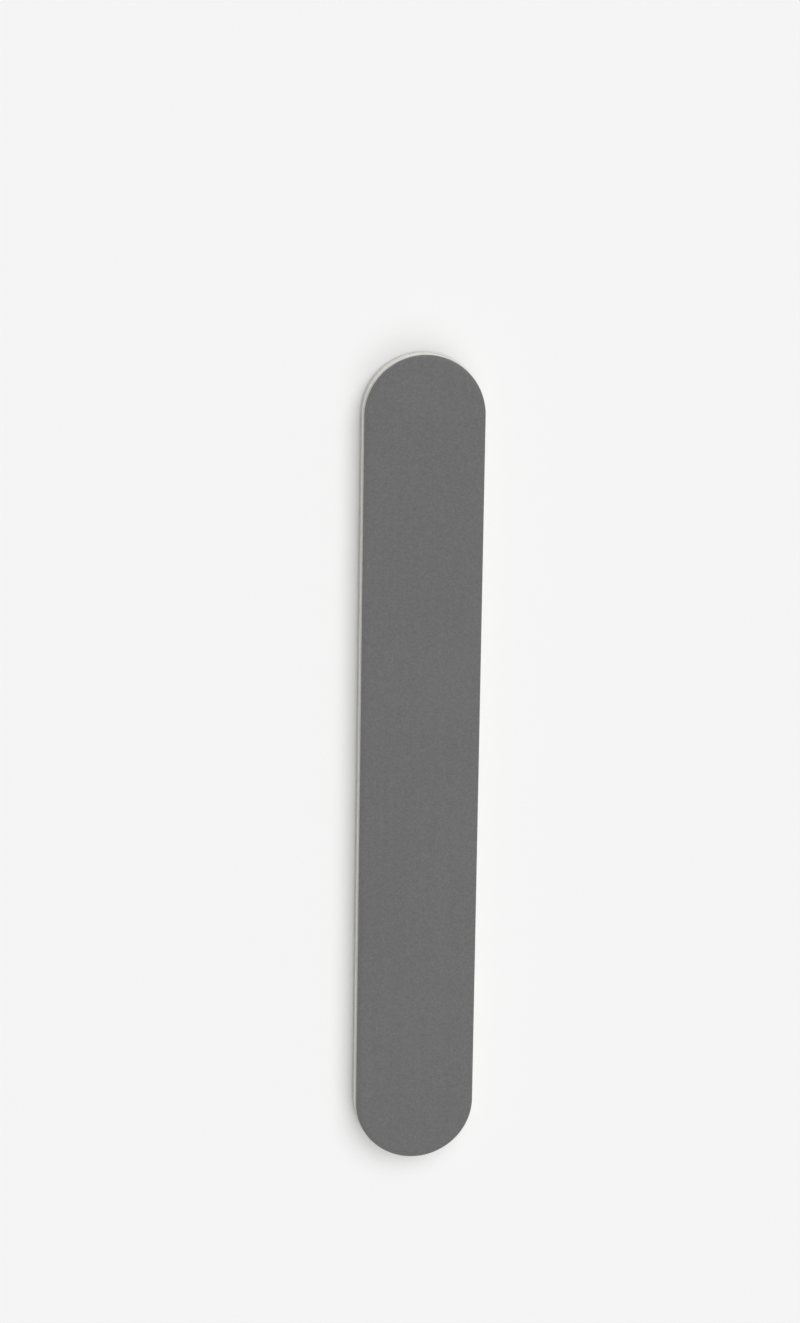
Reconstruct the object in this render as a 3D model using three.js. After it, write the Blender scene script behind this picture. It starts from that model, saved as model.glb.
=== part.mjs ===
// Nail polishing file: a slim board with full-round ends, die-cut from one bonded stack of sheets.
// A stiff plastic core lies in the middle. Outwards from each side of it come an adhesive film,
// a foam pad, a second adhesive film, a backing sheet and the coat of abrasive grit that meets the nail.
// Millimetres, +Z up. The file lies on its back face with its length along Y.
// The origin is under its middle.
import * as THREE from "three";

// Plan of the board
const FILE_LENGTH = 152.4;
const FILE_WIDTH = 22.2;

// Thickness of each sheet, from the middle of the stack outwards
const CORE_THICKNESS = 1;
const CORE_FILM_THICKNESS = 0.1;
const FOAM_THICKNESS = 1.5;
const FACE_FILM_THICKNESS = 0.1;
const BACKING_THICKNESS = 0.2;
const GRIT_THICKNESS = 0.1;

// Marks that the cutting die leaves along the edge
const RIM_WIDTH = 1; // band of each face that bends towards the cut
const RIM_DROP = 0.2; // how far the cut edge lies below the flat of the face
const FOAM_DISH = 0.2; // how far the foam's cut side draws in between its two edges
const CORE_CHAMFER = 0.15; // broken edges of the plastic core

// Facets of each round end, of the bent rim and of the dished foam side
const END_FACETS = 28;
const RIM_FACETS = 4;
const DISH_FACETS = 6;

const END_RADIUS = FILE_WIDTH / 2;
const END_CENTRE = FILE_LENGTH / 2 - END_RADIUS; // distance of each end's centre from the middle
const SIDE_THICKNESS =
  CORE_FILM_THICKNESS + FOAM_THICKNESS + FACE_FILM_THICKNESS + BACKING_THICKNESS + GRIT_THICKNESS;

// Finishes
const WHITE_POLYSTYRENE = { color: 0xf1f0ec, roughness: 0.35, metalness: 0 };
const CLEAR_ADHESIVE = { color: 0xd9d2bd, roughness: 0.25, metalness: 0 };
const PALE_FOAM = { color: 0xdedcd8, roughness: 0.95, metalness: 0 };
const PALE_BACKING = { color: 0xc9c7c2, roughness: 0.7, metalness: 0 };
const DARK_GREY_GRIT = { color: 0x6e6e6d, roughness: 0.75, metalness: 0 };

// The die line, drawn in by an inset: two half circles joined by straight sides, anticlockwise.
function dieLine(inset) {
  const line = new THREE.Shape();
  line.absarc(0, END_CENTRE, END_RADIUS - inset, 0, Math.PI);
  line.absarc(0, -END_CENTRE, END_RADIUS - inset, Math.PI, 2 * Math.PI);
  return line.getPoints(END_FACETS / 2); // an arc gets two facets for each division
}

// A closed solid whose edge section is carried round the die line. The section's stations are
// [inset, z] pairs that run from the rim of the flat underneath, out and up, to the rim of the flat on top.
function sweepRoundDieLine(section) {
  const rings = section.map(([inset, z]) => dieLine(inset).map(({ x, y }) => new THREE.Vector3(x, y, z)));
  const around = rings[0].length;
  const triangles = [];
  for (let ring = 0; ring < rings.length - 1; ring++) {
    for (let i = 0; i < around; i++) {
      const low = ring * around + i;
      const lowNext = ring * around + ((i + 1) % around);
      triangles.push(low, lowNext, lowNext + around, low, lowNext + around, low + around);
    }
  }
  const topRing = (rings.length - 1) * around;
  for (const [a, b, c] of THREE.ShapeUtils.triangulateShape(dieLine(0), [])) {
    triangles.push(c, b, a);
    triangles.push(topRing + a, topRing + b, topRing + c);
  }
  const geometry = new THREE.BufferGeometry().setFromPoints(rings.flat());
  geometry.setIndex(triangles);
  geometry.computeVertexNormals();
  return geometry;
}

// The bent rim of a surface whose flat lies at z: a parabola that leaves the flat smoothly
// and ends at the die line.
function bentRim(z) {
  return Array.from({ length: RIM_FACETS + 1 }, (_, i) => {
    const outwards = i / RIM_FACETS;
    return [RIM_WIDTH * (1 - outwards), z - RIM_DROP * outwards ** 2];
  });
}

// A sheet bonded over the foam, which follows its bent rim.
function bentSheet(thickness) {
  return sweepRoundDieLine([...bentRim(0), ...bentRim(thickness).reverse()]);
}

// A sheet bonded to the flat of the core.
function flatSheet(thickness) {
  return sweepRoundDieLine([
    [0, 0],
    [0, thickness],
  ]);
}

// The foam lies flat on the core side. Its cut side is dished, and its outer face is bent along the rim.
function foamPad() {
  const cutHeight = FOAM_THICKNESS - RIM_DROP;
  const cutSide = Array.from({ length: DISH_FACETS }, (_, i) => {
    const upwards = i / DISH_FACETS;
    return [FOAM_DISH * 4 * upwards * (1 - upwards), cutHeight * upwards];
  });
  return sweepRoundDieLine([...cutSide, ...bentRim(FOAM_THICKNESS).reverse()]);
}

// The stiffening core, a flat board with its edges broken.
function coreBoard() {
  return sweepRoundDieLine([
    [CORE_CHAMFER, 0],
    [0, CORE_CHAMFER],
    [0, CORE_THICKNESS - CORE_CHAMFER],
    [CORE_CHAMFER, CORE_THICKNESS],
  ]);
}

function piece(name, geometry, finish) {
  const mesh = new THREE.Mesh(geometry, new THREE.MeshStandardMaterial(finish));
  mesh.name = name;
  return mesh;
}

// The five sheets on one side of the core, stacked outwards along the group's own +Z.
function sideStack(side) {
  const sheets = [
    ["core_adhesive", CORE_FILM_THICKNESS, flatSheet(CORE_FILM_THICKNESS), CLEAR_ADHESIVE],
    ["foam_pad", FOAM_THICKNESS, foamPad(), PALE_FOAM],
    ["face_adhesive", FACE_FILM_THICKNESS, bentSheet(FACE_FILM_THICKNESS), CLEAR_ADHESIVE],
    ["backing_sheet", BACKING_THICKNESS, bentSheet(BACKING_THICKNESS), PALE_BACKING],
    ["grit_coat", GRIT_THICKNESS, bentSheet(GRIT_THICKNESS), DARK_GREY_GRIT],
  ];
  const stack = new THREE.Group();
  let height = 0;
  for (const [name, thickness, geometry, finish] of sheets) {
    const sheet = piece(`${side}_${name}`, geometry, finish);
    sheet.position.z = height;
    stack.add(sheet);
    height += thickness;
  }
  return stack;
}

const core = piece("core_board", coreBoard(), WHITE_POLYSTYRENE);
core.position.z = SIDE_THICKNESS;

const frontStack = sideStack("front");
frontStack.position.z = SIDE_THICKNESS + CORE_THICKNESS;

// The back of the file is the same stack turned over.
const backStack = sideStack("back");
backStack.rotation.y = Math.PI;
backStack.position.z = SIDE_THICKNESS;

const nailFile = new THREE.Group();
nailFile.add(core, frontStack, backStack);

export default nailFile;
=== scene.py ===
"""Padded nail polishing file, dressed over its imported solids.

A steel-rule die cuts the file from one bonded stack of sheets, so every sheet has the same outline: two half
circles joined by straight sides. Each sheet is modelled again at the place and size of its solid, with what
the solids leave out: smooth round ends, the grain of the abrasive coat, the cut cells of the foam and the
marks of the die. Lengths are in metres. The file lies along Y with its front face up.
"""

import logging
import math
from abc import ABC, abstractmethod
from collections.abc import Callable, Iterator
from contextlib import contextmanager
from dataclasses import dataclass
from enum import Enum
from typing import ClassVar

import bmesh
import bpy
from mathutils import Matrix, Vector


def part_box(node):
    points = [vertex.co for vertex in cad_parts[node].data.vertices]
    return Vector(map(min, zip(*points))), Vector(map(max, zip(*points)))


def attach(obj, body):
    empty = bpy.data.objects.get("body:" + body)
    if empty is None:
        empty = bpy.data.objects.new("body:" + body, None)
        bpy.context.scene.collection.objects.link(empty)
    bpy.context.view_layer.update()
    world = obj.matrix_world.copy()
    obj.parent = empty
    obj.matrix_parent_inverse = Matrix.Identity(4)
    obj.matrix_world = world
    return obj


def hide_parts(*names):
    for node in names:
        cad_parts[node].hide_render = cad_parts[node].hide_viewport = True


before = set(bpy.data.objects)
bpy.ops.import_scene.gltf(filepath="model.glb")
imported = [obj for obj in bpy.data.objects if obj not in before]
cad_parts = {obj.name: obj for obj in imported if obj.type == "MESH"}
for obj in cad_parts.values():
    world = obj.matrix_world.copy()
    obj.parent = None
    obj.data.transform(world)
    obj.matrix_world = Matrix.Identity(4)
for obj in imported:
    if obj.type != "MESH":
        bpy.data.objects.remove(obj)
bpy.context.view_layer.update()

log = logging.getLogger("nail_file")

MM = 0.001
MICRON = 0.001 * MM
BODY = "root"  # the file has no joint, so all its sheets ride on one body
LEVEL = 0.9999  # least upright part of a level face's normal, more than any facet of a bent rim has
CUT_EDGE = math.radians(35)  # faces that meet at more than this meet in a sharp edge
WORN = "worn"  # attribute of the abrasive coat's mesh: 0 on whole grain, up to 1 where the die has broken it

# Numbers of the colour sockets on a Mix node, which share their names with its other sockets
MIX_FACTOR = 0
MIX_FIRST = 6
MIX_SECOND = 7
MIX_RESULT = 2


def linear(hex_colour: str) -> tuple[float, float, float, float]:
    """Turn an sRGB hex value into the linear colour that a shader takes.

    Args:
        hex_colour: six hex digits.

    Returns:
        Red, green, blue and an alpha of one.
    """

    def channel(digits: str) -> float:
        """Linear value of one pair of hex digits."""
        value = int(digits, 16) / 255
        return value / 12.92 if value <= 0.04045 else ((value + 0.055) / 1.055) ** 2.4

    red, green, blue = (channel(hex_colour[at : at + 2]) for at in (0, 2, 4))
    return red, green, blue, 1.0


def add_node(
    tree: bpy.types.NodeTree,
    kind: str,
    sockets: dict[str | int, object] | None = None,
    **settings: object,
) -> bpy.types.Node:
    """Add a node with its settings and links.

    Args:
        tree: tree that gets the node.
        kind: Blender's name for the kind of node.
        sockets: for an input's name or number, the value that it holds or the output that feeds it.
        **settings: properties of the node itself.

    Returns:
        The new node.
    """
    node = tree.nodes.new(kind)
    for name, value in settings.items():
        setattr(node, name, value)
    for name, value in (sockets or {}).items():
        if isinstance(value, bpy.types.NodeSocket):
            tree.links.new(value, node.inputs[name])
        else:
            node.inputs[name].default_value = value
    return node


def pick(piece: bpy.types.Object) -> None:
    """Select one piece, and nothing else, for the next operator.

    Args:
        piece: object to select.
    """
    bpy.ops.object.select_all(action="DESELECT")
    piece.select_set(True)
    bpy.context.view_layer.objects.active = piece


@contextmanager
def editing(piece: bpy.types.Object) -> Iterator[None]:
    """Open one piece in edit mode, with nothing else selected, and close it afterwards.

    Args:
        piece: mesh object to open.
    """
    pick(piece)
    bpy.ops.object.mode_set(mode="EDIT")
    yield
    bpy.ops.object.mode_set(mode="OBJECT")


def select_points(piece: bpy.types.Object, test: Callable[[Vector], bool]) -> None:
    """Select the vertices of an open piece by their place, and nothing else.

    Args:
        piece: mesh object in edit mode.
        test: says whether a place is selected.
    """
    bpy.ops.mesh.select_mode(type="VERT")
    bpy.ops.mesh.select_all(action="DESELECT")
    mesh = bmesh.from_edit_mesh(piece.data)
    for vertex in mesh.verts:
        vertex.select_set(test(vertex.co))
    mesh.select_flush_mode()
    bmesh.update_edit_mesh(piece.data)


def select_cap(piece: bpy.types.Object, way: int) -> None:
    """Select the level faces of an open piece that look up or down, and nothing else.

    Args:
        piece: mesh object in edit mode.
        way: 1 for faces that look up, -1 for faces that look down.
    """
    bpy.ops.mesh.select_mode(type="FACE")
    bpy.ops.mesh.select_all(action="DESELECT")
    mesh = bmesh.from_edit_mesh(piece.data)
    mesh.normal_update()
    for face in mesh.faces:
        face.select_set(face.normal.z * way > LEVEL)
    bmesh.update_edit_mesh(piece.data)


class Side(Enum):
    """Where a sheet lies in the stack, with what that puts before its names."""

    MIDDLE = ""
    FRONT = "front_"
    BACK = "back_"


class Surface(Enum):
    """Kinds of relief, with the texture that draws each."""

    EVEN = "NONE"
    GRAIN = "CLOUDS"
    CELLS = "VORONOI"


class Way(Enum):
    """Ways in which a relief is pressed into a sheet."""

    DOWN = "Z"
    INTO_SURFACE = "NORMAL"


@dataclass(frozen=True)
class Relief:
    """A hollow or a fine unevenness that is pressed into a surface and never stands out from it."""

    surface: Surface
    depth: float
    spacing: float = 0.0  # from one hollow to the next, which an even relief hasn't
    way: Way = Way.INTO_SURFACE

    def press(self, piece: bpy.types.Object, share: Callable[[Vector], float]) -> None:
        """Press the relief into a piece, all of it at once.

        Args:
            piece: mesh object, not open.
            share: for a place on the piece, how much of the depth it takes, from 0 to 1.
        """
        group = piece.vertex_groups.new(name="pressed")
        for vertex in piece.data.vertices:
            group.add([vertex.index], share(vertex.co), "REPLACE")
        pick(piece)
        bpy.ops.object.modifier_add(type="DISPLACE")
        displace = piece.modifiers[-1]
        displace.vertex_group = group.name
        displace.direction = self.way.value
        if self.surface is Surface.EVEN:
            displace.mid_level = 0
            displace.strength = -self.depth
        else:
            displace.texture = bpy.data.textures.new(f"{piece.name}_relief", type=self.surface.value)
            displace.texture.noise_scale = self.spacing
            displace.texture_coords = "LOCAL"
            displace.mid_level = 1
            displace.strength = self.depth
        bpy.ops.object.modifier_apply(modifier=displace.name)
        piece.vertex_groups.clear()


@dataclass(frozen=True)
class DieCut:
    """The cut that the die makes through the whole stack: its outline, and the rim that it bends on the way.

    The sheets over the foam are bent towards the core along their rim, deepest at the cut.
    """

    length: float
    width: float
    rim_drop: float
    rim_width: float = 1 * MM
    rim_rings: int = 6

    @property
    def end_radius(self) -> float:
        """Radius of the round ends."""
        return self.width / 2

    @property
    def end_centre(self) -> float:
        """Distance of each round end's centre from the middle of the file."""
        return self.length / 2 - self.end_radius

    def inset(self, place: Vector) -> float:
        """Distance from the cut inwards to a place, seen from above."""
        past_centre = max(abs(place.y) - self.end_centre, 0)
        return self.end_radius - math.hypot(place.x, past_centre)

    def fall(self, inset: float) -> float:
        """How far a bent sheet lies below its flat at an inset from the cut."""
        return self.rim_drop * max(1 - inset / self.rim_width, 0) ** 2

    def blank(self, name: str, height: float, step: float) -> bpy.types.Object:
        """Lay down one flat face with this outline: a circle, parted and drawn out to the length.

        Args:
            name: name of the new piece.
            height: height of the face.
            step: length of the edges along the outline.

        Returns:
            The new piece.
        """
        end_facets = 2 * round(math.pi * self.end_radius / step / 2)
        half_facet = math.pi / end_facets / 2
        bpy.ops.object.select_all(action="DESELECT")
        bpy.ops.mesh.primitive_circle_add(
            vertices=2 * end_facets,
            radius=self.end_radius / math.cos(half_facet),
            fill_type="NOTHING",
            location=(0, 0, height),
            rotation=(0, 0, half_facet),
        )
        piece = bpy.context.object
        piece.name = piece.data.name = name
        bpy.ops.object.transform_apply(location=True, rotation=True, scale=True)
        # One call makes a hundred cuts at most, so the long sides are cut, and then each part is cut again.
        side_cuts = math.ceil(math.sqrt(2 * self.end_centre / step)) - 1
        with editing(piece):
            for end in (1, -1):
                select_points(piece, lambda place, end=end: place.y * end > 0)
                bpy.ops.transform.translate(value=(0, end * self.end_centre, 0))
            select_points(piece, lambda place: self.end_centre < abs(place.y) < self.end_centre + step)
            for _ in range(2):
                bpy.ops.mesh.subdivide(number_cuts=side_cuts)
            bpy.ops.mesh.select_all(action="SELECT")
            bpy.ops.mesh.edge_face_add()
        return piece

    def bend_rim(self, way: int) -> None:
        """Inset the selected cap ring by ring, so that the rim stays behind and the middle becomes the flat.

        Args:
            way: 1 if the middle of the cap moves out of the sheet, -1 if it moves into it.
        """
        ring_width = self.rim_width / self.rim_rings
        for ring in range(self.rim_rings):
            rise = self.fall(ring * ring_width) - self.fall((ring + 1) * ring_width)
            bpy.ops.mesh.inset(thickness=ring_width, depth=way * rise)


@dataclass(frozen=True)
class Nodes:
    """The nodes of one material: their tree, the shader, and the place on the piece that patterns read."""

    tree: bpy.types.NodeTree
    shader: bpy.types.Node
    place: bpy.types.NodeSocket

    def feed(self, name: str, source: bpy.types.NodeSocket) -> None:
        """Let an output feed the shader's input of that name."""
        self.tree.links.new(source, self.shader.inputs[name])


@dataclass(frozen=True)
class Finish:
    """One material: what it is called, its plain colour and how it takes the light."""

    name: str
    colour: str
    roughness: float
    ior: float
    specular: float = 0.5

    def material(self) -> bpy.types.Material:
        """Give the material, which is made when the first piece asks for it."""
        return bpy.data.materials.get(self.name) or self.make()

    def make(self) -> bpy.types.Material:
        """Make the material, with its plain values on the shader and then its surface detail.

        Returns:
            The new material.
        """
        made = bpy.data.materials.new(self.name)
        made.use_nodes = True
        tree = made.node_tree
        tree.nodes.clear()
        shader = add_node(
            tree,
            "ShaderNodeBsdfPrincipled",
            {
                "Base Color": linear(self.colour),
                "Roughness": self.roughness,
                "IOR": self.ior,
                "Specular IOR Level": self.specular,
            },
        )
        add_node(tree, "ShaderNodeOutputMaterial", {"Surface": shader.outputs["BSDF"]})
        place = add_node(tree, "ShaderNodeTexCoord").outputs["Object"]
        self.add_detail(Nodes(tree, shader, place))
        return made

    def add_detail(self, nodes: Nodes) -> None:
        """Add the surface detail of this finish. A plain finish has none.

        Args:
            nodes: nodes of the material.
        """


@dataclass(frozen=True)
class SiliconCarbideCoat(Finish):
    """Silicon carbide grain, scattered upright into grey resin on a web of paper."""

    # Close-packed sharp grains give an even, dull dark grey with a faint speckle, and no clear reflection.
    name: str = "silicon_carbide_grit_in_resin"
    colour: str = "636363"
    roughness: float = 0.42  # of the brightest facets
    dull_roughness: float = 0.72  # of the dullest facets
    ior: float = 1.55
    specular: float = 0.3  # the grains shade each other, so the coat reflects less than bare resin
    worn_colour: str = "7b7a79"
    grain: float = 0.24 * MM  # a grain of 240 grit is 0.06 mm, too fine to show, so it is drawn coarser
    grain_height: float = 0.03 * MM
    grain_relief: float = 0.35
    speckle: float = 0.1  # how far single grains part from the plain colour
    facet: float = 0.09 * MM  # the broken faces of one grain, drawn coarser with it
    faceting: float = 0.12  # how far single facets part from their grain
    cloud: float = 14 * MM  # width of the soft clouds that uneven resin leaves
    cloud_octaves: int = 3  # finer layers of noise in them
    cloudiness: float = 0.06
    streak_width: float = 0.9 * MM  # streaks along the web, from the coating rollers
    streak_length: float = 45 * MM
    streak_octaves: int = 2
    streakiness: float = 0.04

    def add_detail(self, nodes: Nodes) -> None:
        """Add grains with their facets, clouds, roller streaks and the broken rim.

        Args:
            nodes: nodes of the material.
        """
        tree, place = nodes.tree, nodes.place
        grains = add_node(tree, "ShaderNodeTexVoronoi", {"Vector": place, "Scale": 1 / self.grain})
        grain_tone = add_node(tree, "ShaderNodeSeparateColor", {"Color": grains.outputs["Color"]})
        facets = add_node(tree, "ShaderNodeTexVoronoi", {"Vector": place, "Scale": 1 / self.facet})
        facet_tone = add_node(tree, "ShaderNodeSeparateColor", {"Color": facets.outputs["Color"]})
        grey = self.uneven_grey(nodes, grain_tone.outputs["Red"], facet_tone.outputs["Red"])
        nodes.feed("Base Color", self.broken_along_cut(nodes, grey, grain_tone.outputs["Green"]))
        glint = add_node(
            tree,
            "ShaderNodeMapRange",
            {"Value": facet_tone.outputs["Blue"], "To Min": self.roughness, "To Max": self.dull_roughness},
        )
        nodes.feed("Roughness", glint.outputs[0])
        bump = add_node(
            tree,
            "ShaderNodeBump",
            {
                "Height": grains.outputs["Distance"],
                "Strength": self.grain_relief,
                "Distance": self.grain_height,
            },
            invert=True,
        )
        nodes.feed("Normal", bump.outputs["Normal"])

    def uneven_grey(
        self, nodes: Nodes, grain_tone: bpy.types.NodeSocket, facet_tone: bpy.types.NodeSocket
    ) -> bpy.types.NodeSocket:
        """Make the plain colour lighter and darker from grain to grain, and in clouds and streaks.

        Args:
            nodes: nodes of the material.
            grain_tone: a value of its own for each grain, from 0 to 1.
            facet_tone: a value of its own for each facet, from 0 to 1.

        Returns:
            The uneven grey.
        """
        tree, place = nodes.tree, nodes.place
        clouds = add_node(
            tree,
            "ShaderNodeTexNoise",
            {"Vector": place, "Scale": 1 / self.cloud, "Detail": self.cloud_octaves},
        )
        across = 1 / self.streak_width
        along = 1 / self.streak_length
        web = add_node(tree, "ShaderNodeMapping", {"Vector": place, "Scale": (across, along, across)})
        streaks = add_node(
            tree,
            "ShaderNodeTexNoise",
            {"Vector": web.outputs[0], "Scale": 1, "Detail": self.streak_octaves},
        )
        tone: float | bpy.types.NodeSocket = 1.0
        for source, spread in (
            (grain_tone, self.speckle),
            (facet_tone, self.faceting),
            (clouds.outputs["Fac"], self.cloudiness),
            (streaks.outputs["Fac"], self.streakiness),
        ):
            part = add_node(
                tree, "ShaderNodeMapRange", {"Value": source, "To Min": 1 - spread, "To Max": 1 + spread}
            )
            both = add_node(tree, "ShaderNodeMath", {0: tone, 1: part.outputs[0]}, operation="MULTIPLY")
            tone = both.outputs[0]
        grey = add_node(
            tree,
            "ShaderNodeMix",
            {MIX_FACTOR: 1.0, MIX_FIRST: linear(self.colour), MIX_SECOND: tone},
            data_type="RGBA",
            blend_type="MULTIPLY",
        )
        return grey.outputs[MIX_RESULT]

    def broken_along_cut(
        self, nodes: Nodes, grey: bpy.types.NodeSocket, grain_tone: bpy.types.NodeSocket
    ) -> bpy.types.NodeSocket:
        """Lighten the grains that the die has broken, some more than others.

        Args:
            nodes: nodes of the material.
            grey: colour of whole grain.
            grain_tone: a value of its own for each grain, from 0 to 1.

        Returns:
            The colour of the coat.
        """
        worn = add_node(nodes.tree, "ShaderNodeAttribute", attribute_name=WORN)
        broken = add_node(
            nodes.tree, "ShaderNodeMath", {0: worn.outputs["Fac"], 1: grain_tone}, operation="MULTIPLY"
        )
        coat = add_node(
            nodes.tree,
            "ShaderNodeMix",
            {MIX_FACTOR: broken.outputs[0], MIX_FIRST: grey, MIX_SECOND: linear(self.worn_colour)},
            data_type="RGBA",
        )
        return coat.outputs[MIX_RESULT]


@dataclass(frozen=True)
class SaturatedPaper(Finish):
    """Kraft paper filled with latex, slit and then cut by the die."""

    # The cut edge is dull and pale, with the fine mottle of packed fibres.
    name: str = "latex_saturated_paper"
    colour: str = "cfcdc7"
    roughness: float = 0.8
    ior: float = 1.5
    fibre_colour: str = "b4b1a9"
    fibre: float = 0.15 * MM  # a fibre is about 0.03 mm wide, too fine to show, so it is drawn coarser
    fibre_octaves: int = 3
    fibre_height: float = 0.04 * MM
    fibre_relief: float = 0.4

    def add_detail(self, nodes: Nodes) -> None:
        """Add the mottle of the fibres.

        Args:
            nodes: nodes of the material.
        """
        tree = nodes.tree
        fibres = add_node(
            tree,
            "ShaderNodeTexNoise",
            {"Vector": nodes.place, "Scale": 1 / self.fibre, "Detail": self.fibre_octaves},
        )
        mottle = add_node(
            tree,
            "ShaderNodeMix",
            {
                MIX_FACTOR: fibres.outputs["Fac"],
                MIX_FIRST: linear(self.colour),
                MIX_SECOND: linear(self.fibre_colour),
            },
            data_type="RGBA",
        )
        nodes.feed("Base Color", mottle.outputs[MIX_RESULT])
        bump = add_node(
            tree,
            "ShaderNodeBump",
            {"Height": fibres.outputs["Fac"], "Strength": self.fibre_relief, "Distance": self.fibre_height},
        )
        nodes.feed("Normal", bump.outputs["Normal"])


@dataclass(frozen=True)
class AcrylicFilm(Finish):
    """Acrylic pressure-sensitive adhesive, cast as a film and pressed between two sheets."""

    # A hair line in the cut edge, a little yellow and wet-looking, with dust in it here and there.
    name: str = "acrylic_adhesive_film"
    colour: str = "d9d2bd"
    roughness: float = 0.28
    ior: float = 1.47
    dust_colour: str = "b0a998"
    dust: float = 1.6 * MM  # from one patch of dust to the next
    dust_octaves: int = 4
    dust_begins: float = 0.45  # where in the pattern's range the dust begins to show
    dust_covers: float = 0.75  # and where it covers the film
    dusty_roughness: float = 0.56

    def add_detail(self, nodes: Nodes) -> None:
        """Add the dust that sticks to the cut edge.

        Args:
            nodes: nodes of the material.
        """
        tree = nodes.tree
        patches = add_node(
            tree,
            "ShaderNodeTexNoise",
            {"Vector": nodes.place, "Scale": 1 / self.dust, "Detail": self.dust_octaves},
        )
        dust = add_node(
            tree,
            "ShaderNodeMapRange",
            {"Value": patches.outputs["Fac"], "From Min": self.dust_begins, "From Max": self.dust_covers},
        )
        dusty = add_node(
            tree,
            "ShaderNodeMix",
            {
                MIX_FACTOR: dust.outputs[0],
                MIX_FIRST: linear(self.colour),
                MIX_SECOND: linear(self.dust_colour),
            },
            data_type="RGBA",
        )
        nodes.feed("Base Color", dusty.outputs[MIX_RESULT])
        dull = add_node(
            tree,
            "ShaderNodeMapRange",
            {"Value": dust.outputs[0], "To Min": self.roughness, "To Max": self.dusty_roughness},
        )
        nodes.feed("Roughness", dull.outputs[0])


@dataclass(frozen=True)
class CutFoam(Finish):
    """Cross-linked polyethylene foam, skived to a sheet and cut through its cells by the die."""

    # The cut side is chalky and soft. Its wide cells are in the mesh, and the small ones between them
    # are here, as bumps, with painted shade darkening their hollows.
    name: str = "cross_linked_polyethylene_foam"
    colour: str = "dedddb"
    roughness: float = 0.92
    ior: float = 1.5
    # painted shade: the colour of the small cells' hollows, darker than the foam where shade would fall
    hollow_shade_colour: str = "cdcbc8"
    cell: float = 0.18 * MM
    hollow_floor: float = 0.05  # distance from a cell's middle, in cells, over which its hollow is deepest
    hollow_rim: float = 0.75  # and where the hollow has risen to the wall
    hollow_depth: float = 0.05 * MM
    hollow_relief: float = 0.6

    def add_detail(self, nodes: Nodes) -> None:
        """Add the small opened cells, as bumps with painted shade darker towards each hollow's middle.

        Args:
            nodes: nodes of the material.
        """
        tree = nodes.tree
        cells = add_node(tree, "ShaderNodeTexVoronoi", {"Vector": nodes.place, "Scale": 1 / self.cell})
        wall = add_node(
            tree,
            "ShaderNodeMapRange",
            {"Value": cells.outputs["Distance"], "From Min": self.hollow_floor, "From Max": self.hollow_rim},
            interpolation_type="SMOOTHSTEP",
        )
        # painted shade: each small cell is coloured darker towards its middle, over and above its bump
        shaded_skin = add_node(
            tree,
            "ShaderNodeMix",
            {
                MIX_FACTOR: wall.outputs[0],
                MIX_FIRST: linear(self.hollow_shade_colour),
                MIX_SECOND: linear(self.colour),
            },
            data_type="RGBA",
        )
        nodes.feed("Base Color", shaded_skin.outputs[MIX_RESULT])
        bump = add_node(
            tree,
            "ShaderNodeBump",
            {"Height": wall.outputs[0], "Strength": self.hollow_relief, "Distance": self.hollow_depth},
        )
        nodes.feed("Normal", bump.outputs["Normal"])


@dataclass(frozen=True)
class PolystyreneSheet(Finish):
    """High-impact polystyrene, extruded as white sheet and cut by the die."""

    # The cut side has a soft gloss, crossed by fine upright scores that the blade leaves.
    name: str = "high_impact_polystyrene_sheet"
    colour: str = "f1f0ec"
    roughness: float = 0.3  # between the scores
    scored_roughness: float = 0.56
    ior: float = 1.59
    score_width: float = 0.25 * MM  # a score is about 0.05 mm wide, too fine to show, so it is drawn coarser
    score_length: float = 4 * MM
    score_octaves: int = 2
    score_depth: float = 0.02 * MM
    score_relief: float = 0.22

    def add_detail(self, nodes: Nodes) -> None:
        """Add the upright scores.

        Args:
            nodes: nodes of the material.
        """
        tree = nodes.tree
        across = 1 / self.score_width
        along = 1 / self.score_length
        upright = add_node(
            tree, "ShaderNodeMapping", {"Vector": nodes.place, "Scale": (across, across, along)}
        )
        scores = add_node(
            tree,
            "ShaderNodeTexNoise",
            {"Vector": upright.outputs[0], "Scale": 1, "Detail": self.score_octaves},
        )
        dull = add_node(
            tree,
            "ShaderNodeMapRange",
            {"Value": scores.outputs["Fac"], "To Min": self.roughness, "To Max": self.scored_roughness},
        )
        nodes.feed("Roughness", dull.outputs[0])
        bump = add_node(
            tree,
            "ShaderNodeBump",
            {"Height": scores.outputs["Fac"], "Strength": self.score_relief, "Distance": self.score_depth},
        )
        nodes.feed("Normal", bump.outputs["Normal"])


@dataclass(frozen=True)
class StudioBoard(Finish):
    """Painted board, rolled matt."""

    # A near-white floor with no sheen, which keeps a soft shadow.
    name: str = "matt_painted_board"
    colour: str = "f6f6f6"
    roughness: float = 0.95
    ior: float = 1.45


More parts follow.
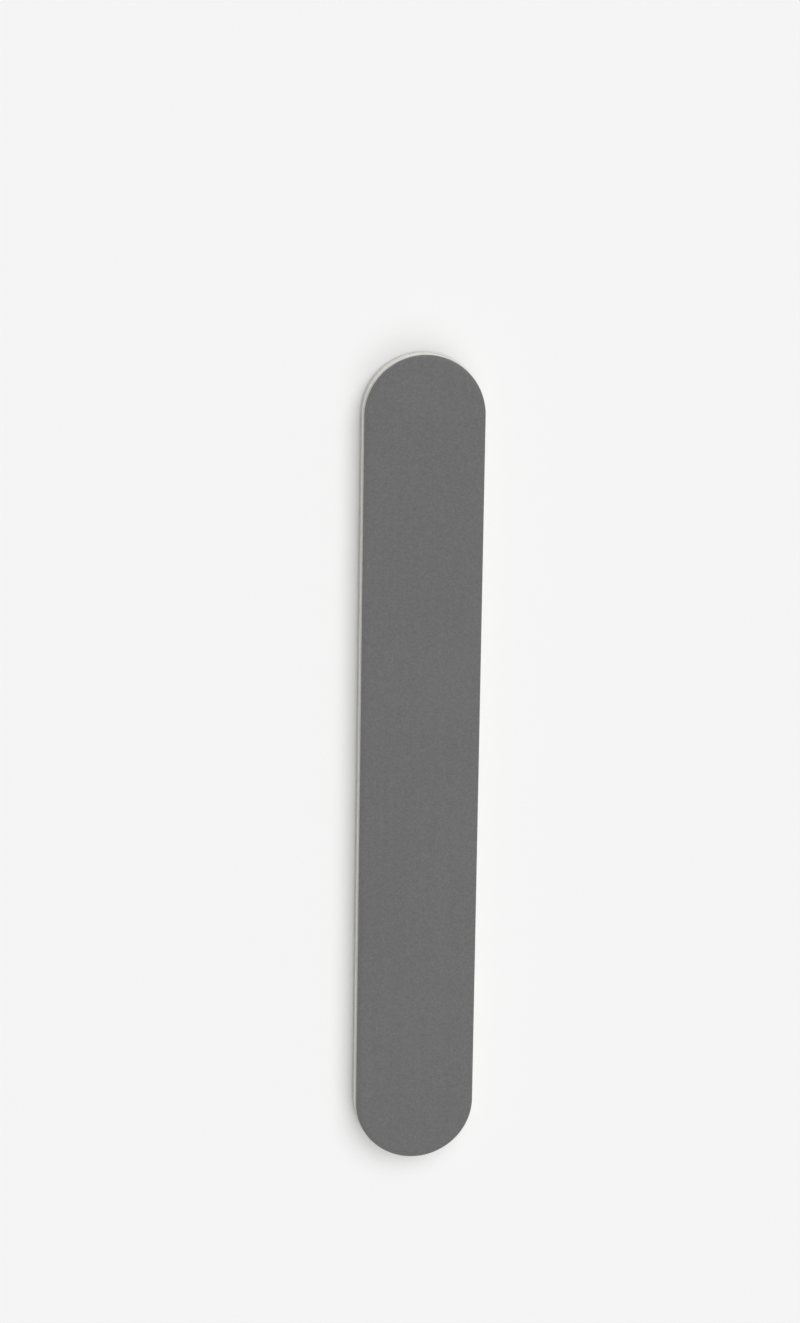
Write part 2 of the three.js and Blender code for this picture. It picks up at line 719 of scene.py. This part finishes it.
@dataclass
class Sheet(ABC):
    """One sheet of the stack, cut by the die. Its heights are those of its flat faces on the front side.

    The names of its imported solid, its finished piece and its material slot leave out the side.
    """

    cut: DieCut
    low: float
    high: float
    step: float = 0.4 * MM  # length of the edges along the outline

    solid: ClassVar[str]
    title: ClassVar[str]
    slot: ClassVar[str]
    finish: ClassVar[Finish]

    @property
    def thickness(self) -> float:
        """Thickness of the sheet."""
        return self.high - self.low

    @abstractmethod
    def shape(self, name: str) -> bpy.types.Object:
        """Model the sheet.

        Args:
            name: name of the new piece.

        Returns:
            The new piece.
        """

    def build(self, side: Side) -> bpy.types.Object:
        """Model the sheet, shade it smooth apart from its cut edges, and dress it.

        Args:
            side: where it lies in the stack, the middle or the front.

        Returns:
            The finished piece.
        """
        piece = self.shape(side.value + self.title)
        pick(piece)
        bpy.ops.object.shade_smooth_by_angle(angle=CUT_EDGE)
        piece.data.materials.clear()
        piece.data.materials.append(self.finish.material())
        return piece

    def seat(self, piece: bpy.types.Object, side: Side) -> None:
        """Set a finished piece on the body and let it stand for its solid.

        Args:
            piece: finished piece of this sheet.
            side: where it lies in the stack.
        """
        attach(piece, BODY)
        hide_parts(side.value + self.solid)
        log.info("%s is in place with %d faces", piece.name, len(piece.data.polygons))

    def slot_on(self, side: Side) -> str:
        """Material slot of this sheet on one side, which most sheets share between the sides."""
        return self.slot

    def slab(self, name: str, drop: float = 0.0) -> bpy.types.Object:
        """Raise a blank into a closed slab of this sheet's thickness, with upright sides.

        Args:
            name: name of the new piece.
            drop: how far it lies below the sheet's flat faces.

        Returns:
            The new piece.
        """
        return self.raised(name, self.low - drop, self.high - drop)

    def raised(self, name: str, low: float, high: float) -> bpy.types.Object:
        """Raise a blank from one height to another.

        Args:
            name: name of the new piece.
            low: height of its underside.
            high: height of its top.

        Returns:
            The new piece.
        """
        piece = self.cut.blank(name, low, self.step)
        with editing(piece):
            bpy.ops.mesh.select_all(action="SELECT")
            bpy.ops.mesh.extrude_region_move(TRANSFORM_OT_translate={"value": (0, 0, high - low)})
            bpy.ops.mesh.select_all(action="SELECT")
            bpy.ops.mesh.normals_make_consistent(inside=False)
        return piece

    def cut_bands(self, piece: bpy.types.Object, high: float, bands: int) -> None:
        """Part the upright side of a piece into bands of equal height.

        Args:
            piece: mesh object, not open.
            high: height of the side's upper edge.
            bands: number of bands.
        """
        with editing(piece):
            for band in range(1, bands):
                height = self.low + (high - self.low) * band / bands
                bpy.ops.mesh.select_all(action="SELECT")
                bpy.ops.mesh.bisect(plane_co=(0, 0, height), plane_no=(0, 0, 1), threshold=MICRON)


@dataclass
class CoreBoard(Sheet):
    """The stiff plastic core, a flat board with its cut edges broken."""

    chamfer: float = 0.15 * MM
    chamfer_facets: int = 3

    solid: ClassVar[str] = "core_board"
    title: ClassVar[str] = "core_sheet"
    slot: ClassVar[str] = "core_plastic"
    finish: ClassVar[Finish] = PolystyreneSheet()

    def shape(self, name: str) -> bpy.types.Object:
        """Model the board.

        Args:
            name: name of the new piece.

        Returns:
            The new piece.
        """
        piece = self.slab(name)
        with editing(piece):
            for way in (1, -1):
                select_cap(piece, way)
                bpy.ops.mesh.region_to_loop()
                bpy.ops.mesh.bevel(offset=self.chamfer, segments=self.chamfer_facets, affect="EDGES")
        return piece


@dataclass
class CoreFilm(Sheet):
    """The adhesive film between the core and the foam, whose edge has shrunk back a little."""

    step: float = 0.5 * MM
    groove: Relief = Relief(Surface.EVEN, depth=0.05 * MM)

    solid: ClassVar[str] = "core_adhesive"
    title: ClassVar[str] = "core_film"
    slot: ClassVar[str] = "adhesive"
    finish: ClassVar[Finish] = AcrylicFilm()

    def shape(self, name: str) -> bpy.types.Object:
        """Model the film.

        Args:
            name: name of the new piece.

        Returns:
            The new piece.
        """
        piece = self.slab(name)
        self.cut_bands(piece, self.high, bands=2)
        self.groove.press(piece, self.between_faces)
        return piece

    def between_faces(self, place: Vector) -> float:
        """One half way up the cut edge, and nothing on the film's faces."""
        return float(self.low + MICRON < place.z < self.high - MICRON)


@dataclass
class FoamPad(Sheet):
    """The foam cushion: flat on the core side, bent along its outer rim, with a dished side of cut cells."""

    step: float = 0.1 * MM
    bands: int = 14
    dish: Relief = Relief(Surface.EVEN, depth=0.2 * MM)
    # Most cells are under 0.2 mm wide. The ones drawn are the widest, which are the ones that show.
    cells: Relief = Relief(Surface.CELLS, depth=0.22 * MM, spacing=0.4 * MM)
    fill: float = 1.0  # solid foam keeps its shape

    solid: ClassVar[str] = "foam_pad"
    title: ClassVar[str] = "foam_cushion"
    slot: ClassVar[str] = "foam"
    finish: ClassVar[Finish] = CutFoam()

    @property
    def cut_height(self) -> float:
        """Height of the cut side, which ends where the rim is bent down to."""
        return self.thickness - self.cut.rim_drop

    def shape(self, name: str) -> bpy.types.Object:
        """Model the pad.

        Args:
            name: name of the new piece.

        Returns:
            The new piece.
        """
        edge = self.low + self.cut_height
        piece = self.raised(name, self.low, edge)
        self.cut_bands(piece, edge, self.bands)
        with editing(piece):
            select_cap(piece, 1)
            self.cut.bend_rim(1)
        self.dish.press(piece, self.dished)
        self.cells.press(piece, self.open_cells)
        return piece

    def dished(self, place: Vector) -> float:
        """Share of the dish at a place: all of it half way up the cut side, none at its edges or off it."""
        upwards = min(max((place.z - self.low) / self.cut_height, 0), 1)
        return 4 * upwards * (1 - upwards)

    def open_cells(self, place: Vector) -> float:
        """Share of the cells' depth at a place: all of it over most of the cut side, none at its edges."""
        return min(2 * self.dished(place), 1)

    def seat(self, piece: bpy.types.Object, side: Side) -> None:
        """Set a finished pad on the body and let it stand for its solid, as any sheet does.

        Args:
            piece: finished pad.
            side: where it lies in the stack.
        """
        super().seat(piece, side)


@dataclass
class BentSheet(Sheet):
    """A thin sheet over the foam, which follows its bent rim."""

    def shape(self, name: str) -> bpy.types.Object:
        """Model the sheet.

        Args:
            name: name of the new piece.

        Returns:
            The new piece.
        """
        piece = self.slab(name, self.cut.rim_drop)
        with editing(piece):
            for way in (-1, 1):
                select_cap(piece, way)
                self.cut.bend_rim(way)
        return piece


@dataclass
class FaceFilm(BentSheet):
    """The adhesive film between the foam and the abrasive sheet."""

    solid: ClassVar[str] = "face_adhesive"
    title: ClassVar[str] = "face_film"
    slot: ClassVar[str] = "adhesive"
    finish: ClassVar[Finish] = AcrylicFilm()


@dataclass
class BackingPaper(BentSheet):
    """The paper that carries the abrasive coat."""

    solid: ClassVar[str] = "backing_sheet"
    title: ClassVar[str] = "backing_paper"
    slot: ClassVar[str] = "backing"
    finish: ClassVar[Finish] = SaturatedPaper()


@dataclass
class GritCoat(BentSheet):
    """The abrasive coat: a bent sheet whose outer face carries the grain."""

    step: float = 0.3 * MM
    weld: float = 0.005 * MM  # reach within which the rings count as met
    # Single grains are too fine for the mesh, so its relief is that of their clusters.
    grain: Relief = Relief(Surface.GRAIN, depth=0.022 * MM, spacing=0.5 * MM, way=Way.DOWN)
    worn_width: float = 0.25 * MM  # band along the cut where the die has broken the grain

    solid: ClassVar[str] = "grit_coat"
    title: ClassVar[str] = "grit_face"
    slot: ClassVar[str] = "grit"
    finish: ClassVar[Finish] = SiliconCarbideCoat()

    def shape(self, name: str) -> bpy.types.Object:
        """Model the coat, with rings of small faces over the whole of its outer face.

        Args:
            name: name of the new piece.

        Returns:
            The new piece.
        """
        piece = super().shape(name)
        flat_width = self.cut.end_radius - self.cut.rim_width
        flat_rings = round(flat_width / self.step)
        with editing(piece):
            select_cap(piece, 1)
            for _ in range(flat_rings):
                bpy.ops.mesh.inset(thickness=flat_width / flat_rings)
            # The rings have met along the middle, so the face that is left has no width.
            bpy.ops.mesh.delete(type="ONLY_FACE")
            bpy.ops.mesh.select_all(action="SELECT")
            bpy.ops.mesh.remove_doubles(threshold=self.weld)
            bpy.ops.mesh.normals_make_consistent(inside=False)
        self.grain.press(piece, self.on_outer_face)
        self.mark_wear(piece)
        return piece

    def on_outer_face(self, place: Vector) -> float:
        """One on the outer face, and nothing on the other."""
        middle = self.high - self.thickness / 2
        return float(place.z > middle - self.cut.fall(self.cut.inset(place)))

    def mark_wear(self, piece: bpy.types.Object) -> None:
        """Write on the mesh how far the die has broken the grain along the cut.

        Args:
            piece: mesh object, not open.
        """
        worn = piece.data.attributes.new(WORN, "FLOAT", "POINT")
        for vertex in piece.data.vertices:
            worn.data[vertex.index].value = max(1 - self.cut.inset(vertex.co) / self.worn_width, 0)

    def slot_on(self, side: Side) -> str:
        """Material slot of the coat, which each side has for itself."""
        return side.value + self.slot


@dataclass
class NailFile:
    """The whole file: the core, and on each side of it the same five sheets."""

    cut: DieCut
    core_low: float
    core_high: float

    outwards: ClassVar[tuple[type[Sheet], ...]] = (CoreFilm, FoamPad, FaceFilm, BackingPaper, GritCoat)

    @classmethod
    def from_solids(cls) -> "NailFile":
        """Take the outline, the bend of the rim and the core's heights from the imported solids.

        Returns:
            The file at the size of its solids.
        """
        low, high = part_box(CoreBoard.solid)
        _, foam_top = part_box(Side.FRONT.value + FoamPad.solid)
        film_edge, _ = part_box(Side.FRONT.value + FaceFilm.solid)
        cut = DieCut(length=high.y - low.y, width=high.x - low.x, rim_drop=foam_top.z - film_edge.z)
        return cls(cut, low.z, high.z)

    def build(self) -> None:
        """Model the core, and then the sheets outwards from it on both sides."""
        core = CoreBoard(self.cut, self.core_low, self.core_high)
        core.seat(core.build(Side.MIDDLE), Side.MIDDLE)
        low = self.core_high
        for kind in self.outwards:
            _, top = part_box(Side.FRONT.value + kind.solid)
            sheet = kind(self.cut, low, top.z)
            front = sheet.build(Side.FRONT)
            back = self.turned_over(front, Side.BACK.value + kind.title)
            sheet.seat(front, Side.FRONT)
            sheet.seat(back, Side.BACK)
            low = top.z

    def turned_over(self, front: bpy.types.Object, name: str) -> bpy.types.Object:
        """Copy a sheet of the front side and turn the copy over to the back side.

        Args:
            front: finished sheet of the front side.
            name: name of the copy.

        Returns:
            The copy, with its own mesh.
        """
        pick(front)
        bpy.ops.object.duplicate(linked=False)
        copy = bpy.context.object
        copy.name = copy.data.name = name
        middle = (self.core_low + self.core_high) / 2
        bpy.ops.transform.rotate(value=math.pi, orient_axis="Y", center_override=(0, 0, middle))
        bpy.ops.object.transform_apply(location=True, rotation=True, scale=True)
        return copy


@dataclass(frozen=True)
class FarLamp:
    """A wide lamp far away, which lights the whole floor evenly and casts soft shadows."""

    name: str
    towards: tuple[float, float, float]
    strength: float
    spread: float = math.radians(50)

    def hang(self) -> None:
        """Hang the lamp."""
        aim = -Vector(self.towards)
        bpy.ops.object.light_add(
            type="SUN", location=self.towards, rotation=aim.to_track_quat("-Z", "Y").to_euler()
        )
        lamp = bpy.context.object
        lamp.name = lamp.data.name = self.name
        lamp.data.energy = self.strength
        lamp.data.angle = self.spread


@dataclass(frozen=True)
class Studio:
    """Pale floor, soft light from over both ends and an even pale surround."""

    floor_size: float = 8.0
    floor_height: float = -0.01 * MM  # just under the file, so that the two don't flicker together
    surround_colour: str = "f6f6f6"
    surround_light: float = 0.48
    key: FarLamp = FarLamp("key_lamp", towards=(0.3, 0.7, 1.1), strength=1.45)
    fill: FarLamp = FarLamp("fill_lamp", towards=(0.2, -0.52, 0.75), strength=0.64)

    def build(self) -> None:
        """Lay the floor, hang the lamps and set the surround."""
        bpy.ops.object.select_all(action="DESELECT")
        bpy.ops.mesh.primitive_plane_add(size=self.floor_size, location=(0, 0, self.floor_height))
        floor = bpy.context.object
        floor.name = floor.data.name = "studio_floor"
        floor.data.materials.append(StudioBoard().material())
        self.key.hang()
        self.fill.hang()
        self.light_surround()

    def light_surround(self) -> None:
        """Set a surround that lights the file softly and shows as a pale backdrop."""
        world = bpy.data.worlds.new("studio_surround")
        world.use_nodes = True
        tree = world.node_tree
        tree.nodes.clear()
        path = add_node(tree, "ShaderNodeLightPath")
        seen = path.outputs["Is Camera Ray"]
        for ray in ("Is Glossy Ray", "Is Transmission Ray"):
            either = add_node(tree, "ShaderNodeMath", {0: seen, 1: path.outputs[ray]}, operation="MAXIMUM")
            seen = either.outputs[0]
        light = add_node(
            tree,
            "ShaderNodeBackground",
            {"Color": linear(self.surround_colour), "Strength": self.surround_light},
        )
        backdrop = add_node(
            tree, "ShaderNodeBackground", {"Color": linear(self.surround_colour), "Strength": 1.0}
        )
        shown = add_node(tree, "ShaderNodeMixShader", {0: seen, 1: light.outputs[0], 2: backdrop.outputs[0]})
        add_node(tree, "ShaderNodeOutputWorld", {"Surface": shown.outputs[0]})
        bpy.context.scene.world = world


@dataclass(frozen=True)
class PhotoCamera:
    """The photograph's viewpoint: over the front face, a little towards its top end and its left side."""

    lens_mm: float = 90.0
    sensor_mm: float = 36.0  # along the picture's height
    distance: float = 605.7 * MM
    aim: tuple[float, float, float] = (-3.94 * MM, 19.87 * MM, 4.8 * MM)
    towards_left: float = math.radians(9)
    towards_top: float = math.radians(12.38)
    roll: float = math.radians(0.84)

    def place(self) -> None:
        """Set up the camera and make it the scene's own."""
        flat = math.cos(self.towards_top)
        back = Vector((-math.sin(self.towards_left) * flat, math.sin(self.towards_top), 0))
        back.z = math.cos(self.towards_left) * flat
        right = Vector((0, 1, 0)).cross(back).normalized()
        level = Matrix((right, back.cross(right), back)).transposed()
        turned = level @ Matrix.Rotation(self.roll, 3, "Z")
        bpy.ops.object.camera_add(
            location=Vector(self.aim) + back * self.distance, rotation=turned.to_euler()
        )
        camera = bpy.context.object
        camera.name = camera.data.name = "photo_camera"
        camera.data.lens = self.lens_mm
        camera.data.sensor_width = self.sensor_mm
        bpy.context.scene.camera = camera


def main() -> None:
    """Build the scene in order."""
    logging.basicConfig(level=logging.INFO, format="%(name)s: %(message)s")
    bpy.context.scene.view_settings.view_transform = "Standard"
    PhotoCamera().place()
    Studio().build()
    NailFile.from_solids().build()


if __name__ == "__main__":
    main()
